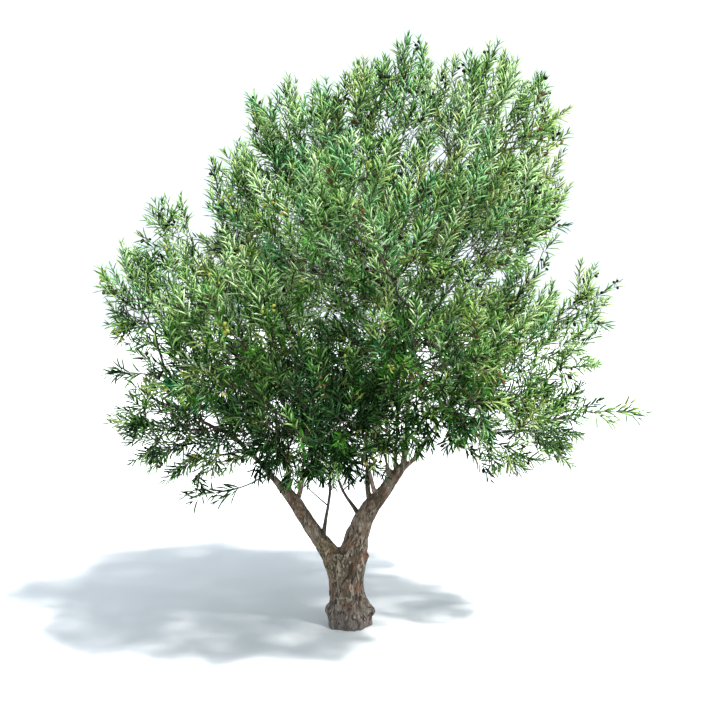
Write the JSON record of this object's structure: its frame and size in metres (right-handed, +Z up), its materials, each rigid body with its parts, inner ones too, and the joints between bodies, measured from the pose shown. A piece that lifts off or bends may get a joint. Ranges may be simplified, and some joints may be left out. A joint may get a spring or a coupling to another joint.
{
  "type": "olive tree",
  "caption": "Broad olive tree with a short flared trunk forking low into two main boughs, an uneven crown of several foliage masses, and a few sprays that stand clear of it.",
  "frame": {"origin": "middle of the flat cut under the trunk, at ground level", "axes": "+Z up along the trunk; +X to the right of the broad side that faces -Y"},
  "size_m": [3.4932, 2.759, 3.6385],
  "materials": {
    "old_bark": "matte, fissured and blotched",
    "young_bark": "matte, fairly smooth",
    "foliage": "satin, grey-green",
    "olives": "satin, with a bloom"
  },
  "bodies": {
    "root": {"trunk": "old_bark", "bough_right": "old_bark", "bough_left": "old_bark", "limb_left_rear": "young_bark", "limb_left_inner": "young_bark", "limb_inner_rear": "young_bark", "limb_inner_front": "young_bark", "spur": "young_bark", "limb_right_rear": "young_bark", "limb_right_top": "young_bark", "limb_right_outer": "young_bark", "shoot_left": "young_bark", "shoot_centre": "young_bark", "foliage_left_low": "foliage", "foliage_left": "foliage", "foliage_left_crest": "foliage", "foliage_left_shoulder": "foliage", "foliage_top_left": "foliage", "foliage_top": "foliage", "foliage_top_right": "foliage", "foliage_right_shoulder": "foliage", "foliage_right_crest": "foliage", "foliage_right": "foliage", "foliage_right_low": "foliage", "foliage_front_left": "foliage", "foliage_front_low": "foliage", "foliage_front_right": "foliage", "foliage_front_top": "foliage", "foliage_front_shoulder": "foliage", "foliage_rear_low": "foliage", "foliage_rear_right": "foliage", "foliage_rear_left": "foliage", "foliage_rear_top": "foliage", "foliage_rear_shoulder": "foliage", "foliage_heart_low": "foliage", "foliage_heart_left": "foliage", "foliage_heart": "foliage", "spray_left_tip": "foliage", "spray_left_hanging": "foliage", "spray_right": "foliage"}
  },
  "joints": []
}
